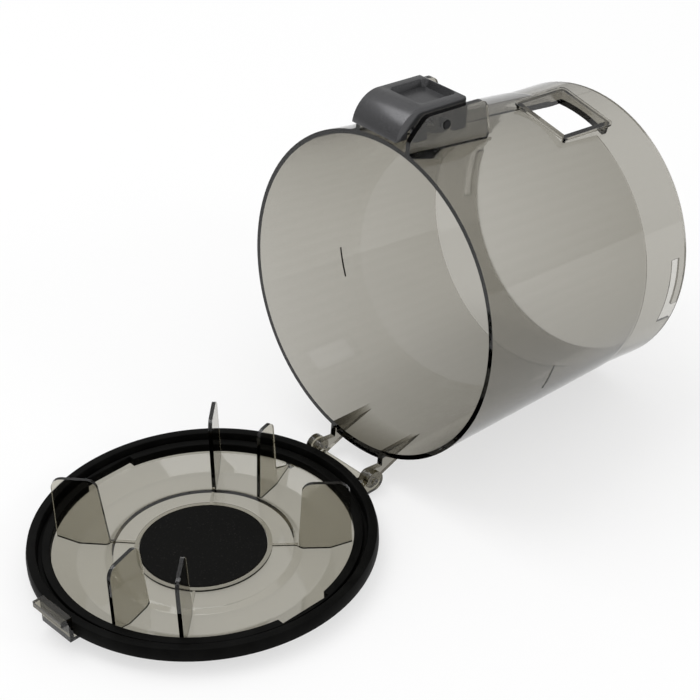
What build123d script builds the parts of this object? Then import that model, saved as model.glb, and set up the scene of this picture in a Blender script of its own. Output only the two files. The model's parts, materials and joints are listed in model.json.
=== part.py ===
from build123d import *
from math import asin, atan2, cos, degrees, hypot, radians, sin
import os

os.makedirs("parts", exist_ok=True)

# Cyclone dust bin lying on its side with its hinged bottom lid open, in millimetres.
# +Z is up, +X runs from the lid's catch past the hinge along the bin, Y is the hinge axis.

# Bin tube
rim_radius = 75.0
tube_length = 134.0
tube_wall = 2.2
band_radius = 67.0
band_length = 28.0
band_step = 0.8
rim_round = 0.6

# Hinge
hinge_reach = 82.5
hinge_height = 5.0
hinge_pin_radius = 1.6
hinge_play = 0.05
barrel_radius = 4.0
arm_inner = 14.1
arm_thickness = 3.1
arm_run = 24.0
ear_radius = 4.8
ear_thickness = 3.0
side_gap = 0.3
pin_proud = 0.4
apron_thickness = 2.4
apron_run = 21.0

# Lid dish
lid_wall = 1.8
plateau_radius = 40.0
plateau_rise = 1.5
step_run = 3.0
slope_run = 10.5
flange_rise = 3.8
flange_radius = 73.3
flange_width = 7.8
dish_round = 2.0
tongue_half_width = 13.5
tongue_gap = 0.6

# Lid fins
fin_angles = (44.0, 130.0, 196.0, 223.0, 317.0)
ribbed_fins = (44.0, 130.0, 223.0, 317.0)
short_fin_angle = 14.0
short_fin_outer = 54.5
gusset_height = 9.0
fin_thickness = 1.8
fin_height = 35.0
fin_inner = 41.0
fin_margin = 1.0
fin_lean = 3.5
fin_round = 5.0
rib_height = 0.8
rib_thickness = 1.2

# Lid seal and centre pad
seal_radius = 76.2
seal_base = 3.3
seal_bead = 6.0
bead_width = 4.5
seal_lip = 4.1
seal_groove = 2.1
seal_notch_width = 25.0
seal_notch_depth = 1.9
rim_gap = 0.3
pad_radius = 27.8
pad_thickness = 1.2
pad_ring_wall = 1.9
pad_ring_rise = 1.0
pad_play = 0.3

# Lid catch
catch_width = 19.5
catch_wall = 2.0
catch_gap = 0.6
catch_lip_reach = 3.5
catch_lip_rise = 4.5
catch_lip_depth = 3.0

# Latch cheeks and release button
cheek_inner = 14.0
cheek_thickness = 2.5
cheek_length = 49.5
cheek_drop = 3.2
cheek_lean = 9.0
cheek_round = 5.0
button_width = 27.0
button_length = 34.5
button_cover = 9.7
button_skin = 4.8
button_round = 2.0
nose_reach = 5.5
nose_swell = 2.2
nose_gap = 0.6
nose_bite = 2.9
leg_thickness = 2.0
leg_depth = 14.6
leg_length = 7.0
recess_length = 22.0
recess_width = 20.0
recess_depth = 3.2
recess_back = 2.0
recess_round = 3.0
recess_taper = 20.0
pivot_run = 21.0
pivot_drop = 9.5
pivot_radius = 2.2
pivot_play = 0.05
pivot_boss = 4.2

# Latch spring
spring_run = 28.5
spring_radius = 3.1
spring_wire = 0.8
spring_turns = 5.0
spring_seat_radius = 4.4
spring_seat_rise = 1.6
spring_peg_rise = 3.0
spring_gap = 0.1
peg_play = 0.3

# Inlet port
port_run = 98.5
port_turn = 11.5
port_length = 27.0
port_width = 27.0
port_wall = 2.0
port_rise = 2.2
port_round = 2.0
port_lip = 1.0

# Bayonet grooves in the far band
groove_depth = 1.0
groove_width = 5.0
groove_from_end = 4.0
groove_start = 82.0
groove_arc = 29.0
groove_entry_arc = 8.0
groove_count = 2

# Worked-out sizes of the lid, with its heights from the floor up
flange_inner = flange_radius - flange_width
channel_radius = flange_inner - slope_run
fin_outer = flange_inner - fin_margin
channel_top = lid_wall
plateau_top = lid_wall + plateau_rise
flange_top = lid_wall + flange_rise
seal_top = flange_top + seal_bead
rim_plane = seal_top + rim_gap

# The hinge seen from the bin: along its axis from the open rim, and out from the axis
hinge_a = hinge_height - rim_plane
hinge_u = -hinge_reach

# The bin tips until its far rim meets the floor on which the lid lies
far_a = tube_length - hinge_a
far_u = hinge_reach - band_radius
bin_tilt = atan2(far_u, far_a) + asin(hinge_height / hypot(far_a, far_u))
along = Vector(cos(bin_tilt), 0, -sin(bin_tilt))
upward = Vector(sin(bin_tilt), 0, cos(bin_tilt))

# The origin is midway between the catch and the far rim's top, on the floor
catch_inner = seal_radius + catch_gap
catch_reach = catch_inner + catch_wall + catch_lip_reach
far_top = along * far_a + upward * (hinge_reach + band_radius)
lid_x = (catch_reach - hinge_reach - far_top.X) / 2
hinge_point = Vector(lid_x + hinge_reach, 0, hinge_height)
rim_center = hinge_point - along * hinge_a - upward * hinge_u

bin_axis = Axis(rim_center, along)
bin_side = Plane(origin=rim_center, x_dir=along, z_dir=(0, -1, 0))
bin_top = Plane(origin=rim_center, x_dir=along, z_dir=upward)
lid_axis = Axis((lid_x, 0, 0), (0, 0, 1))
lid_side = Plane(origin=(lid_x, 0, 0), x_dir=(1, 0, 0), z_dir=(0, -1, 0))

inner_rim = rim_radius - tube_wall
band_bore = band_radius - tube_wall
band_start = tube_length - band_length
cone_slope = (rim_radius - band_radius - band_step) / band_start
arm_outer = arm_inner + arm_thickness
ear_inner = arm_outer + side_gap
button_rim = catch_reach + button_cover
button_underside = button_rim - button_skin
cheek_top = button_rim - cheek_drop
pivot_u = button_rim - pivot_drop
buried = inner_rim - tube_wall * 2


def tube_radius(run):
    return rim_radius - cone_slope * run


def bin_section(turn):
    normal = Vector(0, -1, 0) * cos(radians(turn)) - upward * sin(radians(turn))
    return Plane(origin=rim_center, x_dir=along, z_dir=normal)


def lid_section(turn):
    outward = Vector(cos(radians(turn)), sin(radians(turn)), 0)
    return Plane(origin=(lid_x, 0, 0), x_dir=outward, z_dir=(outward.Y, -outward.X, 0))


# The port's end, square to the tube's radius that it stands on
port_outward = upward * cos(radians(port_turn)) - Vector(0, 1, 0) * sin(radians(port_turn))
port_place = rim_center + along * port_run + port_outward * (tube_radius(port_run) + port_rise)
port_top = Plane(origin=port_place, x_dir=along, z_dir=port_outward)


# Bin body: tapered tube with latch cheeks, hinge arms and inlet port, moulded as one
with BuildPart() as bin_body:
    with BuildSketch(bin_side):
        with BuildLine():
            Polyline(
                (0, 0),
                (0, rim_radius),
                (band_start, band_radius + band_step),
                (band_start, band_radius),
                (tube_length, band_radius),
                (tube_length, 0),
                close=True,
            )
        make_face()
    revolve(axis=bin_axis)
    for side in (1, -1):
        # latch cheek, standing on the tube beside the release button
        with BuildSketch(bin_side.offset(side * cheek_inner)):
            with BuildLine():
                FilletPolyline(
                    (0, buried),
                    (0, cheek_top - cheek_lean),
                    (cheek_lean, cheek_top),
                    (cheek_length - cheek_round, cheek_top),
                    (cheek_length, buried),
                    radius=cheek_round,
                    close=True,
                )
            make_face()
        extrude(amount=side * cheek_thickness)
        # hinge arm, reaching past the rim down to the hinge axis
        with BuildSketch(bin_side.offset(side * arm_inner)):
            with BuildLine():
                Polyline(
                    (hinge_a, hinge_u - barrel_radius),
                    (arm_run, -tube_radius(arm_run) + tube_wall),
                    (arm_run, -buried),
                    (0, -buried),
                    (0, hinge_u + barrel_radius),
                    (hinge_a, hinge_u + barrel_radius),
                    close=True,
                )
            make_face()
            with Locations((hinge_a, hinge_u)):
                Circle(barrel_radius)
        extrude(amount=side * arm_thickness)
        with BuildSketch(bin_side.offset(side * arm_outer)):
            with Locations((hinge_a, hinge_u)):
                Circle(hinge_pin_radius)
        extrude(amount=side * (side_gap + ear_thickness + pin_proud))
    # curved apron that stiffens the wall between the arms
    apron_angle = degrees(atan2(arm_inner + arm_thickness / 2, rim_radius))
    with BuildSketch(bin_section(-apron_angle)):
        with BuildLine():
            Polyline(
                (rim_round, -buried),
                (rim_round, -rim_radius - apron_thickness),
                (apron_run, -tube_radius(apron_run)),
                (apron_run, -buried),
                close=True,
            )
        make_face()
    revolve(axis=bin_axis, revolution_arc=2 * apron_angle)
    # seat and peg of the latch spring
    with BuildSketch(bin_top.offset(buried)):
        with Locations((spring_run, 0)):
            Circle(spring_seat_radius)
    extrude(amount=tube_radius(spring_run) + spring_seat_rise - buried)
    with BuildSketch(bin_top.offset(buried)):
        with Locations((spring_run, 0)):
            Circle(spring_radius - spring_wire / 2 - peg_play)
    extrude(amount=tube_radius(spring_run) + spring_seat_rise + spring_peg_rise - buried)
    # inlet port: a square duct stub that stands out from the tube, turned towards -Y, with a lip round its end
    with BuildSketch(port_top):
        RectangleRounded(port_length + 2 * port_wall, port_width + 2 * port_wall, port_round)
    extrude(amount=-band_radius / 2)
    with BuildSketch(port_top):
        RectangleRounded(
            port_length + 2 * (port_wall + port_lip),
            port_width + 2 * (port_wall + port_lip),
            port_round + port_lip,
        )
    extrude(amount=-port_lip)
    # clear the inside, the port and the pin holes
    with BuildSketch(bin_side):
        with BuildLine():
            Polyline(
                (0, 0),
                (0, inner_rim),
                (band_start, band_bore),
                (tube_length, band_bore),
                (tube_length, 0),
                close=True,
            )
        make_face()
    revolve(axis=bin_axis, mode=Mode.SUBTRACT)
    with BuildSketch(port_top):
        Rectangle(port_length, port_width)
    extrude(amount=-band_radius / 2, mode=Mode.SUBTRACT)
    with BuildSketch(bin_side):
        with Locations((pivot_run, pivot_u)):
            Circle(pivot_radius)
    extrude(amount=cheek_inner + 2 * cheek_thickness, both=True, mode=Mode.SUBTRACT)
    # bayonet grooves: an entry from the far rim and a track along the band
    for index in range(groove_count):
        turn = groove_start + index * 360 / groove_count
        track_near = tube_length - groove_from_end - groove_width
        with BuildSketch(bin_section(turn)):
            with Locations((track_near, band_bore - groove_depth)):
                Rectangle(groove_width, 2 * groove_depth, align=(Align.MIN, Align.MIN))
        revolve(axis=bin_axis, revolution_arc=groove_arc, mode=Mode.SUBTRACT)
        with BuildSketch(bin_section(turn + groove_arc - groove_entry_arc)):
            with Locations((track_near, band_bore - groove_depth)):
                Rectangle(groove_width + groove_from_end, 2 * groove_depth, align=(Align.MIN, Align.MIN))
        revolve(axis=bin_axis, revolution_arc=groove_entry_arc, mode=Mode.SUBTRACT)

bin_body.part.label = "bin_body"
export_step(bin_body.part, "parts/bin_body.step")

# Lid: a shallow dish with a raised centre, fins, hinge ears and catch, moulded as one
with BuildPart() as lid:
    pad_ring_inner = pad_radius + pad_play
    pad_ring_outer = pad_ring_inner + pad_ring_wall
    with BuildSketch(lid_side) as dish:
        with BuildLine():
            Polyline(
                (0, plateau_top),
                (plateau_radius, plateau_top),
                (plateau_radius + step_run, channel_top),
                (channel_radius, channel_top),
                (flange_inner, flange_top),
                (flange_radius, flange_top),
                (flange_radius, flange_top - lid_wall),
                (flange_inner + lid_wall / 2, flange_top - lid_wall),
                (channel_radius + lid_wall / 2, 0),
                (plateau_radius + step_run - lid_wall / 2, 0),
                (plateau_radius - lid_wall / 2, plateau_top - lid_wall),
                (0, plateau_top - lid_wall),
                close=True,
            )
        make_face()
        bends = [
            (plateau_radius, plateau_top),
            (plateau_radius + step_run, channel_top),
            (channel_radius, channel_top),
            (flange_inner, flange_top),
        ]
        fillet([dish.vertices().sort_by_distance(Vector(*bend))[0] for bend in bends], radius=dish_round)
    revolve(axis=lid_axis)
    with BuildSketch(Plane(origin=(lid_x, 0, plateau_top - lid_wall / 2))):
        Circle(pad_ring_outer)
        Circle(pad_ring_inner, mode=Mode.SUBTRACT)
    extrude(amount=pad_ring_rise + lid_wall / 2)
    for angle in fin_angles:
        with BuildSketch(lid_section(angle)) as fin:
            with BuildLine():
                Polyline(
                    (fin_inner, plateau_top - lid_wall),
                    (plateau_radius + step_run, channel_top - lid_wall / 2),
                    (channel_radius, channel_top - lid_wall / 2),
                    (fin_outer, flange_top - lid_wall / 2),
                    (fin_outer, channel_top + fin_height),
                    (fin_inner + fin_lean, channel_top + fin_height),
                    close=True,
                )
            make_face()
            fillet(fin.vertices().sort_by(Axis.Y)[-2:], radius=fin_round)
        extrude(amount=fin_thickness / 2, both=True)
    # short fin beside the hinge, with a gusset from its back to the flange
    with BuildSketch(lid_section(short_fin_angle)) as short_fin:
        with BuildLine():
            Polyline(
                (fin_inner, plateau_top - lid_wall),
                (plateau_radius + step_run, channel_top - lid_wall / 2),
                (short_fin_outer, channel_top - lid_wall / 2),
                (short_fin_outer, channel_top + fin_height),
                (fin_inner + fin_lean, channel_top + fin_height),
                close=True,
            )
        make_face()
        fillet(short_fin.vertices().sort_by(Axis.Y)[-2:], radius=fin_lean)
    extrude(amount=fin_thickness / 2, both=True)
    with BuildSketch(lid_section(short_fin_angle)):
        with BuildLine():
            Polyline(
                (short_fin_outer - fin_margin, channel_top - lid_wall / 2),
                (channel_radius, channel_top - lid_wall / 2),
                (fin_outer, flange_top - lid_wall / 2),
                (fin_outer, flange_top),
                (short_fin_outer - fin_margin, channel_top + gusset_height),
                close=True,
            )
        make_face()
    extrude(amount=rib_thickness / 2, both=True)
    for angle in ribbed_fins:
        with BuildSketch(lid_section(angle)):
            with Locations((pad_ring_outer - pad_ring_wall / 2, plateau_top - lid_wall / 2)):
                Rectangle(
                    fin_inner - pad_ring_outer + pad_ring_wall / 2,
                    rib_height + lid_wall / 2,
                    align=(Align.MIN, Align.MIN),
                )
        extrude(amount=rib_thickness / 2, both=True)
    # hinge ears outside the bin's arms, and the tongue between the arms
    for side in (1, -1):
        with BuildSketch(lid_side.offset(side * ear_inner)):
            with Locations((hinge_reach, hinge_height)):
                Circle(ear_radius)
            with Locations((flange_inner, hinge_height - ear_radius)):
                Rectangle(
                    hinge_reach - flange_inner,
                    flange_top - hinge_height + ear_radius,
                    align=(Align.MIN, Align.MIN),
                )
            with Locations((hinge_reach, hinge_height)):
                Circle(hinge_pin_radius + hinge_play, mode=Mode.SUBTRACT)
        extrude(amount=side * ear_thickness)
    with BuildSketch(lid_side):
        with Locations((flange_inner, flange_top - lid_wall)):
            Rectangle(hinge_reach - tongue_gap - flange_inner, lid_wall, align=(Align.MIN, Align.MIN))
    extrude(amount=tongue_half_width, both=True)
    # catch: a riser outside the seal with a lip that the button's nose holds
    with BuildSketch(lid_side):
        with BuildLine():
            Polyline(
                (-flange_inner, flange_top - lid_wall),
                (-catch_inner - catch_wall, flange_top - lid_wall),
                (-catch_inner - catch_wall, rim_plane + catch_lip_rise - catch_lip_depth),
                (-catch_reach, rim_plane + catch_lip_rise - catch_lip_depth),
                (-catch_reach, rim_plane + catch_lip_rise),
                (-catch_inner, rim_plane + catch_lip_rise),
                (-catch_inner, flange_top),
                (-flange_inner, flange_top),
                close=True,
            )
        make_face()
    extrude(amount=catch_width / 2, both=True)

lid.part.label = "lid"
export_step(lid.part, "parts/lid.step")

# Lid seal: a soft ring on the flange, with a bead for the bin's rim and an inner lip
with BuildPart() as lid_seal:
    bead_inner = seal_radius - bead_width
    with BuildSketch(lid_side):
        with BuildLine():
            Polyline(
                (flange_inner, flange_top),
                (seal_radius, flange_top),
                (seal_radius, flange_top + seal_base),
                (seal_radius - rim_gap * 2, seal_top),
                (bead_inner, seal_top),
                (bead_inner - rim_gap * 2, flange_top + seal_groove),
                (bead_inner - tube_wall, flange_top + seal_groove),
                (bead_inner - tube_wall, flange_top + seal_lip),
                (flange_inner, flange_top + seal_lip),
                close=True,
            )
        make_face()
    revolve(axis=lid_axis)
    for side in (1, -1):
        with BuildSketch(Plane(origin=(lid_x, 0, flange_top))):
            with Locations((0, side * flange_inner)):
                Rectangle(seal_notch_width, 2 * seal_notch_depth)
        extrude(amount=seal_bead, mode=Mode.SUBTRACT)

lid_seal.part.label = "lid_seal"
export_step(lid_seal.part, "parts/lid_seal.step")

# Centre pad: a thin disc lying inside the lid's ring
with BuildPart() as centre_pad:
    with BuildSketch(Plane(origin=(lid_x, 0, plateau_top))):
        Circle(pad_radius)
    extrude(amount=pad_thickness)
    fillet(centre_pad.faces().sort_by(Axis.Z)[-1].edges(), radius=pad_thickness / 3)

centre_pad.part.label = "centre_pad"
export_step(centre_pad.part, "parts/centre_pad.step")

# Release button: a rocker with a hooked nose at the rim and a finger recess behind
with BuildPart() as release_button:
    catch_lip_face = catch_lip_rise - catch_lip_depth
    nose_foot = catch_reach - nose_bite
    hook_a = catch_lip_face - nose_gap
    with BuildSketch(bin_side):
        with BuildLine():
            nose = ThreePointArc(
                (-nose_reach, nose_foot),
                (-nose_swell, button_rim - button_skin),
                (cheek_lean, button_rim),
            )
            crown = Line(nose @ 1, (button_length - button_round, button_rim))
            back = RadiusArc(crown @ 1, (button_length, button_rim - button_round), button_round)
            Polyline(
                back @ 1,
                (button_length, button_underside),
                (cheek_lean, button_underside),
                (hook_a, catch_reach + nose_gap),
                (hook_a, nose_foot),
                nose @ 0,
            )
        make_face()
    extrude(amount=button_width / 2, both=True)
    # side legs with the pivot bosses
    leg_foot = button_rim - leg_depth
    for side in (1, -1):
        with BuildSketch(bin_side.offset(side * (button_width / 2 - leg_thickness))):
            with Locations((catch_lip_rise, button_underside), (button_length - leg_length, button_underside)):
                Rectangle(leg_length, 2 * (button_underside - leg_foot), align=(Align.MIN, Align.CENTER))
            with Locations((pivot_run, (pivot_u + button_underside) / 2)):
                Rectangle(2 * pivot_boss, button_underside - pivot_u + button_skin / 2)
            with Locations((pivot_run, pivot_u)):
                Circle(pivot_boss)
            split_height = button_underside + button_skin / 2
            with Locations((button_length / 2, split_height)):
                Rectangle(2 * button_length, leg_depth, align=(Align.CENTER, Align.MIN), mode=Mode.SUBTRACT)
        extrude(amount=side * leg_thickness)
    # finger recess
    recess_middle = button_length - recess_back - recess_length / 2
    with BuildSketch(bin_top.offset(button_rim)):
        with Locations((recess_middle, 0)):
            RectangleRounded(recess_length, recess_width, recess_round)
    extrude(amount=-recess_depth, taper=recess_taper, mode=Mode.SUBTRACT)
    # spring peg under the skin and the pivot hole
    with BuildSketch(bin_top.offset(button_underside)):
        with Locations((spring_run, 0)):
            Circle(spring_radius - spring_wire / 2 - peg_play)
    extrude(amount=-spring_peg_rise / 2)
    with BuildSketch(bin_side):
        with Locations((pivot_run, pivot_u)):
            Circle(pivot_radius + pivot_play)
    extrude(amount=button_width, both=True, mode=Mode.SUBTRACT)

release_button.part.label = "release_button"
export_step(release_button.part, "parts/release_button.step")

# Latch pin: pressed into the cheeks, the button turns on it
with BuildPart() as latch_pin:
    with BuildSketch(bin_side):
        with Locations((pivot_run, pivot_u)):
            Circle(pivot_radius)
    extrude(amount=cheek_inner + cheek_thickness + pin_proud, both=True)
    fillet(latch_pin.edges().filter_by(GeomType.CIRCLE), radius=pin_proud)

latch_pin.part.label = "latch_pin"
export_step(latch_pin.part, "parts/latch_pin.step")

# Latch spring: a coil between the tube and the button's skin
spring_bottom = tube_radius(spring_run) + spring_seat_rise
spring_height = button_underside - spring_bottom - spring_wire - 2 * spring_gap
with BuildPart() as latch_spring:
    spring_foot = Vector(spring_run, 0, spring_bottom + spring_gap + spring_wire / 2)
    with BuildLine() as coil:
        Helix(
            pitch=spring_height / spring_turns,
            height=spring_height,
            radius=spring_radius,
            center=bin_top.from_local_coords(spring_foot),
            direction=upward,
        )
    with BuildSketch(Plane(origin=coil.line @ 0, z_dir=coil.line % 0)):
        Circle(spring_wire / 2)
    sweep(is_frenet=True)

latch_spring.part.label = "latch_spring"
export_step(latch_spring.part, "parts/latch_spring.step")

# Places that the record repeats
print("lid_x", round(lid_x, 4), "tilt", round(degrees(bin_tilt), 4))
print("hinge", hinge_point, "rim_center", rim_center)
print("along", along, "upward", upward)
print("pivot", bin_side.from_local_coords(Vector(pivot_run, pivot_u, 0)))
print("band mid", rim_center + along * (band_start + band_length / 2))
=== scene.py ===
import json
import math

import bpy
import bmesh
from mathutils import Matrix, Vector


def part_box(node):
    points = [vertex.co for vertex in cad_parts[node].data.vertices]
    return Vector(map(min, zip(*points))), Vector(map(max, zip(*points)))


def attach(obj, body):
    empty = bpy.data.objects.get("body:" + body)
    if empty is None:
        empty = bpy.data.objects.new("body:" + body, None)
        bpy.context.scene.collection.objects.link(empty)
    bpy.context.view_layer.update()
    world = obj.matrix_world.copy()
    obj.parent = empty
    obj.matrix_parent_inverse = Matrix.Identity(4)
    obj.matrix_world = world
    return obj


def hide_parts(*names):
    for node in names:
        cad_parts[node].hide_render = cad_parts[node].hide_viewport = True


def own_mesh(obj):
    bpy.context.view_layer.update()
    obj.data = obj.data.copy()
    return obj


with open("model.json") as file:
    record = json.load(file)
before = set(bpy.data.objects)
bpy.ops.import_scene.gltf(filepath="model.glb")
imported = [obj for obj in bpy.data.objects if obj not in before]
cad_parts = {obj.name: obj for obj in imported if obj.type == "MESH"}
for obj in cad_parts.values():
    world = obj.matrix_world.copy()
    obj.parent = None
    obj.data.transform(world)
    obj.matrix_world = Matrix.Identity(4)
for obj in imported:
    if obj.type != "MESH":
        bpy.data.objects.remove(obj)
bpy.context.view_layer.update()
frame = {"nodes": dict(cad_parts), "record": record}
nodes = frame["nodes"]
print("frame loaded:", sorted(nodes))

scene = bpy.context.scene
scene.view_settings.view_transform = "Standard"


# Where the bin and the lid are, from the frame
boreMount = [m for m in frame["record"]["mounts"] if m["name"] == "far_bore"][0]
binAlong = Vector(boreMount["axis"]).normalized()
binAcross = Vector((0, 1, 0))
binUp = binAlong.cross(binAcross)
padLow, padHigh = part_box("centre_pad")
lidCentre = Vector(((padLow.x + padHigh.x) / 2, 0, 0))
boreSpot = Vector(boreMount["pos_m"])


# Shader sockets as values, so that a pattern is written as an expression
class Sock:
    def __init__(self, tree, out):
        self.tree = tree
        self.out = out

    def node(self, kind, settings=None, **inputs):
        return addNode(self.tree, kind, settings, inputs)

    def math(self, operation, *others):
        made = self.tree.nodes.new("ShaderNodeMath")
        made.operation = operation
        for index, value in enumerate((self,) + others):
            plug(self.tree, made.inputs[index], value)
        return Sock(self.tree, made.outputs[0])

    def __add__(self, other):
        return self.math("ADD", other)

    def __radd__(self, other):
        return self.math("ADD", other)

    def __sub__(self, other):
        return self.math("SUBTRACT", other)

    def __rsub__(self, other):
        return (self * -1) + other

    def __mul__(self, other):
        return self.math("MULTIPLY", other)

    def __rmul__(self, other):
        return self.math("MULTIPLY", other)


def plug(tree, socket, value):
    if isinstance(value, Sock):
        tree.links.new(value.out, socket)
    else:
        socket.default_value = value


def addNode(tree, kind, settings=None, inputs=None, output=0):
    made = tree.nodes.new(kind)
    for name, value in (settings or {}).items():
        if name == "stops":
            ramp = made.color_ramp
            while len(ramp.elements) < len(value):
                ramp.elements.new(0.5)
            for element, (spot, colour) in zip(ramp.elements, value):
                element.position = spot
                element.color = colour
        else:
            setattr(made, name, value)
    for name, value in (inputs or {}).items():
        plug(tree, made.inputs[name], value)
    return Sock(tree, made.outputs[output])


def newMaterial(name):
    material = bpy.data.materials.new(name)
    material.use_nodes = True
    tree = material.node_tree
    shader = tree.nodes["Principled BSDF"]
    coords = addNode(tree, "ShaderNodeTexCoord", output="Object")
    return material, tree, shader, coords


def dress(node, material):
    mesh = nodes[node].data
    mesh.materials.clear()
    mesh.materials.append(material)


def noise(coords, scale, detail):
    return coords.node("ShaderNodeTexNoise", Vector=coords, Scale=scale, Detail=detail)


def ramp(factor, *stops):
    return factor.node("ShaderNodeValToRGB", {"stops": stops}, Fac=factor)


def addPiece(name, bm, material, body):
    mesh = bpy.data.meshes.new(name)
    bm.to_mesh(mesh)
    bm.free()
    mesh.materials.append(material)
    piece = bpy.data.objects.new(name, mesh)
    scene.collection.objects.link(piece)
    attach(piece, body)
    return piece


def mergedCopy(node):
    bm = bmesh.new()
    bm.from_mesh(nodes[node].data)
    bmesh.ops.remove_doubles(bm, verts=bm.verts, dist=1e-6)
    return bm


# Smoke plastic of the bin and the lid
smoke = {
    "colour": (1.0, 1.0, 1.0, 1),
    "binAbsorb": (0.37, 0.344, 0.264, 1),
    "lidAbsorb": (0.37, 0.335, 0.205, 1),
    "density": 500.0,
    "smoothest": 0.015,
    "scuffRange": 0.05,
    "scuffScale": 60.0,
    "ior": 1.49,
}


def smokePlastic(name, colour):
    material, tree, shader, coords = newMaterial(name)
    shader.inputs["Base Color"].default_value = smoke["colour"]
    shader.inputs["Transmission Weight"].default_value = 1.0
    shader.inputs["IOR"].default_value = smoke["ior"]
    scuffs = noise(coords, smoke["scuffScale"], 3.0)
    plug(tree, shader.inputs["Roughness"], scuffs * smoke["scuffRange"] + smoke["smoothest"])
    absorb = addNode(tree, "ShaderNodeVolumeAbsorption", None, {"Color": colour, "Density": smoke["density"]})
    plug(tree, tree.nodes["Material Output"].inputs["Volume"], absorb)
    return material


dress("bin_body", smokePlastic("smokeBin", smoke["binAbsorb"]))
dress("lid", smokePlastic("smokeLid", smoke["lidAbsorb"]))

# Black rubber of the seal
sealFinish = {
    "colour": (0.002, 0.002, 0.0018, 1),
    "worn": (0.005, 0.005, 0.0046, 1),
    "mottleScale": 90.0,
    "grainScale": 900.0,
    "smoothest": 0.4,
    "roughRange": 0.2,
    "specular": 0.04,
    "bump": 0.06,
    "grainDepth": 0.0004,
}


def sealRubber():
    material, tree, shader, coords = newMaterial("sealRubber")
    mottle = noise(coords, sealFinish["mottleScale"], 4.0)
    colour = ramp(mottle, (0.35, sealFinish["colour"]), (0.75, sealFinish["worn"]))
    plug(tree, shader.inputs["Base Color"], colour)
    plug(tree, shader.inputs["Roughness"], mottle * sealFinish["roughRange"] + sealFinish["smoothest"])
    shader.inputs["Specular IOR Level"].default_value = sealFinish["specular"]
    grain = noise(coords, sealFinish["grainScale"], 2.0)
    bump = grain.node("ShaderNodeBump", Height=grain, Strength=sealFinish["bump"],
                      Distance=sealFinish["grainDepth"])
    plug(tree, shader.inputs["Normal"], bump)
    return material


dress("lid_seal", sealRubber())

# Matt pad in the middle of the lid
padFinish = {
    "colour": (0.0035, 0.0035, 0.0032, 1),
    "dust": (0.03, 0.029, 0.026, 1),
    "speckScale": 1400.0,
    "roughness": 0.85,
    "specular": 0.1,
    "bump": 0.35,
    "speckDepth": 0.0003,
}


def padFoam():
    material, tree, shader, coords = newMaterial("padFoam")
    specks = noise(coords, padFinish["speckScale"], 3.0)
    dust = ramp(specks, (0.62, padFinish["colour"]), (0.80, padFinish["dust"]))
    plug(tree, shader.inputs["Base Color"], dust)
    shader.inputs["Roughness"].default_value = padFinish["roughness"]
    shader.inputs["Specular IOR Level"].default_value = padFinish["specular"]
    bump = specks.node("ShaderNodeBump", Height=specks, Strength=padFinish["bump"],
                       Distance=padFinish["speckDepth"])
    plug(tree, shader.inputs["Normal"], bump)
    return material


dress("centre_pad", padFoam())

# Dark metallic-grey plastic of the release button
buttonFinish = {
    "dark": (0.055, 0.055, 0.057, 1),
    "light": (0.10, 0.10, 0.104, 1),
    "flakeScale": 2600.0,
    "metallic": 0.7,
    "smoothest": 0.2,
    "roughRange": 0.1,
}


def buttonPlastic():
    material, tree, shader, coords = newMaterial("buttonPlastic")
    flakes = noise(coords, buttonFinish["flakeScale"], 2.0)
    colour = ramp(flakes, (0.3, buttonFinish["dark"]), (0.7, buttonFinish["light"]))
    plug(tree, shader.inputs["Base Color"], colour)
    shader.inputs["Metallic"].default_value = buttonFinish["metallic"]
    plug(tree, shader.inputs["Roughness"], flakes * buttonFinish["roughRange"] + buttonFinish["smoothest"])
    return material


dress("release_button", buttonPlastic())

# The button and the seal again, with their sharp edges rounded
rounding = {
    "release_button": {"body": "release_button", "slot": "button_plastic", "width": 0.0007, "sharp": 35},
    "lid_seal": {"body": "lid", "slot": "seal_rubber", "width": 0.0004, "sharp": 50},
}
smoothBelow = math.radians(32)
flatBelow = math.radians(0.5)


def roundedCopy(node, body, slot, width, sharp):
    bm = mergedCopy(node)
    bmesh.ops.dissolve_limit(bm, angle_limit=flatBelow, verts=bm.verts, edges=bm.edges)
    bmesh.ops.recalc_face_normals(bm, faces=bm.faces)
    edges = [e for e in bm.edges if e.is_convex and e.calc_face_angle(0) > math.radians(sharp)]
    bmesh.ops.bevel(bm, geom=edges, offset=width, affect="EDGES", segments=3, profile=0.5, material=-1,
                    clamp_overlap=True)
    for face in bm.faces:
        face.smooth = True
    for edge in bm.edges:
        edge.smooth = edge.calc_face_angle(0) < smoothBelow
    print("rounded", node, len(edges), "edges")
    piece = addPiece(node + "_round", bm, nodes[node].data.materials[0], body)
    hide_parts(node)


for node, settings in rounding.items():
    roundedCopy(node, **settings)

# Fill line printed outside the tube, once on each side
fillLine = {
    "along": -0.073,      # from the far bore's middle
    "start": 104.5,       # degrees from the top
    "sweep": 11.5,
    "steps": 10,
    "radius": 0.07178,
    "width": 0.0008,
    "proud": 0.0002,
    "thin": (0.05, 0.05, 0.048, 1),
    "colour": (0.10, 0.10, 0.097, 1),
    "blotchScale": 1200.0,
    "roughness": 0.5,
}


def printInk():
    material, tree, shader, coords = newMaterial("printInk")
    blotch = noise(coords, fillLine["blotchScale"], 2.0)
    colour = ramp(blotch, (0.2, fillLine["thin"]), (0.7, fillLine["colour"]))
    plug(tree, shader.inputs["Base Color"], colour)
    shader.inputs["Roughness"].default_value = fillLine["roughness"]
    return material


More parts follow.
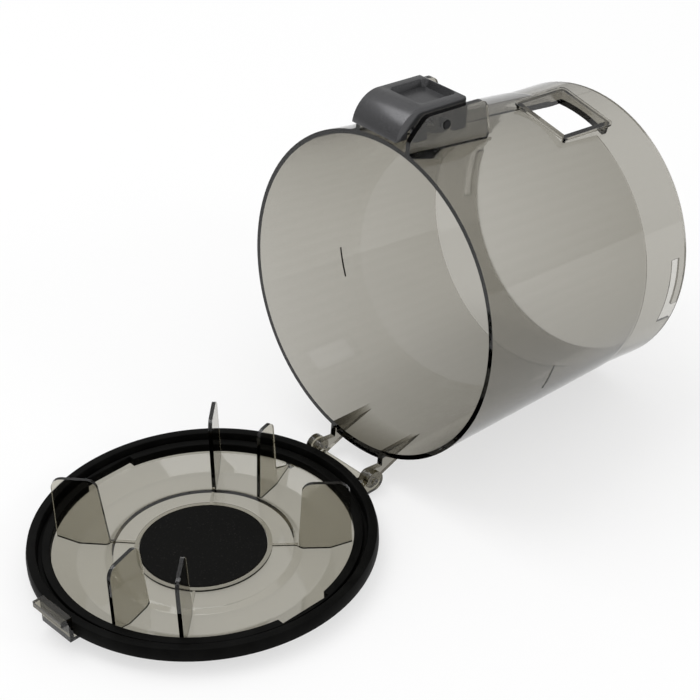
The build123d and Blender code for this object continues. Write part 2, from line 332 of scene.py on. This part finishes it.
def addFillLine(name, side, material):
    centre = boreSpot + binAlong * fillLine["along"]
    start = math.radians(fillLine["start"]) * side
    out = binUp * math.cos(start) - binAcross * math.sin(start)
    inner = centre + out * fillLine["radius"]
    outer = inner + out * fillLine["proud"]
    across = binAlong * fillLine["width"]
    bm = bmesh.new()
    face = bm.faces.new([bm.verts.new(c) for c in (inner, outer, outer + across, inner + across)])
    bmesh.ops.spin(bm, geom=[face] + face.edges[:] + face.verts[:], cent=centre, axis=binAlong, dvec=(0, 0, 0),
                   angle=math.radians(fillLine["sweep"]) * side, steps=fillLine["steps"], use_duplicate=False)
    bmesh.ops.recalc_face_normals(bm, faces=bm.faces)
    addPiece(name, bm, material, "bin")


ink = printInk()
addFillLine("fill_line_near", 1, ink)
addFillLine("fill_line_far", -1, ink)
print("fill lines printed")

# Steel of the pin and the spring
steelFinish = {
    "pin": {"colour": (0.02, 0.02, 0.021, 1), "smoothest": 0.25},
    "spring": {"colour": (0.55, 0.55, 0.56, 1), "smoothest": 0.22},
}
drawnScale = 500.0
drawnRange = 0.15


def steel(name, colour, smoothest):
    material, tree, shader, coords = newMaterial(name)
    shader.inputs["Base Color"].default_value = colour
    shader.inputs["Metallic"].default_value = 1.0
    plug(tree, shader.inputs["Roughness"], noise(coords, drawnScale, 2.0) * drawnRange + smoothest)
    return material


dress("latch_pin", steel("pinSteel", **steelFinish["pin"]))
dress("latch_spring", steel("springSteel", **steelFinish["spring"]))

# The coil under the button, as a smoothed copy of the spring; its shortening is worked out but not applied
coil = {"drop": 0.0043}


def shorteningCoil():
    bm = mergedCopy("latch_spring")
    bmesh.ops.recalc_face_normals(bm, faces=bm.faces)
    for face in bm.faces:
        face.smooth = True
    lowest = min(bm.verts, key=lambda v: v.co.dot(binUp)).co.copy()
    length = max(v.co.dot(binUp) for v in bm.verts) - lowest.dot(binUp)
    piece = addPiece("latch_coil", bm, nodes["latch_spring"].data.materials[0], "bin")
    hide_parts("latch_spring")
    keep = 1 - coil["drop"] / length
    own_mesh(piece)
    print("coil length", round(length, 5))


shorteningCoil()
print("materials done")

# Camera at the photograph's angle, in a 700 by 700 frame
shot = {
    "azimuth": -41.039,
    "elevation": 34.447,
    "roll": -2.448,
    "focal": 2300.0,      # in pixels of the photograph
    "frame": 700.0,
    "sensor": 36.0,
    "distance": 0.9981,
    "side": -0.06335,     # of the lid's centre, from the view's middle
    "rise": -0.088,
    "clip": (0.01, 20),
}


def placeCamera():
    az = math.radians(shot["azimuth"])
    el = math.radians(shot["elevation"])
    right = Vector((math.cos(az), math.sin(az), 0))
    back = Vector((math.sin(az) * math.cos(el), -math.cos(az) * math.cos(el), math.sin(el)))
    up = back.cross(right)
    roll = math.radians(shot["roll"])
    level, upright = right, up
    right = level * math.cos(roll) + upright * math.sin(roll)
    up = upright * math.cos(roll) - level * math.sin(roll)
    spot = lidCentre - right * shot["side"] - up * shot["rise"] + back * shot["distance"]
    data = bpy.data.cameras.new("photoCamera")
    data.sensor_width = shot["sensor"]
    data.lens = shot["sensor"] * shot["focal"] / shot["frame"]
    data.clip_start, data.clip_end = shot["clip"]
    camera = bpy.data.objects.new("photoCamera", data)
    turn = Matrix((right, up, back)).transposed().to_4x4()
    camera.matrix_world = Matrix.Translation(spot) @ turn
    scene.collection.objects.link(camera)
    scene.camera = camera


placeCamera()
print("camera placed")

# Pale floor that looks white to the camera, and soft studio light
studio = {
    "floor": 3.0,
    "drop": -0.0012,
    "white": (1, 1, 1, 1),
    "floorColour": (0.9, 0.9, 0.9, 1),
    "floorRoughness": 0.9,
    "glow": 0.62,
    "world": [
        (0.0, (0.34, 0.34, 0.34, 1)),
        (0.5, (0.5, 0.5, 0.5, 1)),
        (0.72, (0.62, 0.62, 0.62, 1)),
        (0.9, (1.0, 1.0, 1.0, 1)),
    ],
}
lamps = {
    "topSoft": {"spot": (-0.2, 0.5, 1.4), "target": (0, 0, 0.05), "size": 0.9, "power": 6},
    "sideSoft": {"spot": (0.5, -1.3, 0.9), "target": (0.05, 0, 0.06), "size": 0.35, "power": 3},
}


def floorMaterial():
    material, tree, shader, coords = newMaterial("paleFloor")
    shader.inputs["Base Color"].default_value = studio["floorColour"]
    shader.inputs["Roughness"].default_value = studio["floorRoughness"]
    glow = addNode(tree, "ShaderNodeEmission", None, {"Color": studio["white"], "Strength": 1.0})
    camera = addNode(tree, "ShaderNodeLightPath", output="Is Camera Ray")
    glossy = addNode(tree, "ShaderNodeLightPath", output="Is Glossy Ray")
    through = addNode(tree, "ShaderNodeLightPath", output="Is Transmission Ray")
    seen = camera.math("MAXIMUM", glossy).math("MAXIMUM", through)
    mix = tree.nodes.new("ShaderNodeMixShader")
    plug(tree, mix.inputs[0], seen * studio["glow"])
    tree.links.new(shader.outputs[0], mix.inputs[1])
    plug(tree, mix.inputs[2], glow)
    tree.links.new(mix.outputs[0], tree.nodes["Material Output"].inputs["Surface"])
    return material


def addFloor():
    mesh = bpy.data.meshes.new("floor")
    bm = bmesh.new()
    bmesh.ops.create_grid(bm, x_segments=1, y_segments=1, size=studio["floor"])
    bmesh.ops.translate(bm, verts=bm.verts, vec=(0, 0, studio["drop"]))
    bm.to_mesh(mesh)
    bm.free()
    floor = bpy.data.objects.new("floor", mesh)
    scene.collection.objects.link(floor)
    mesh.materials.append(floorMaterial())


def paleWorld():
    world = bpy.data.worlds.new("studioWorld")
    scene.world = world
    world.use_nodes = True
    tree = world.node_tree
    background = tree.nodes["Background"]
    direction = addNode(tree, "ShaderNodeTexCoord")
    height = addNode(tree, "ShaderNodeSeparateXYZ", None, {"Vector": direction}, output="Z")
    plug(tree, background.inputs["Color"], ramp(height * 0.5 + 0.5, *studio["world"]))
    background.inputs["Strength"].default_value = 1.0


def addLamp(name, spot, target, size, power):
    data = bpy.data.lights.new(name, "AREA")
    data.shape = "SQUARE"
    data.size = size
    data.energy = power
    lamp = bpy.data.objects.new(name, data)
    aim = (Vector(target) - Vector(spot)).to_track_quat("-Z", "Y")
    lamp.matrix_world = Matrix.Translation(spot) @ aim.to_matrix().to_4x4()
    lamp.visible_transmission = False
    scene.collection.objects.link(lamp)


addFloor()
paleWorld()
for name, settings in lamps.items():
    addLamp(name, **settings)
print("studio done")
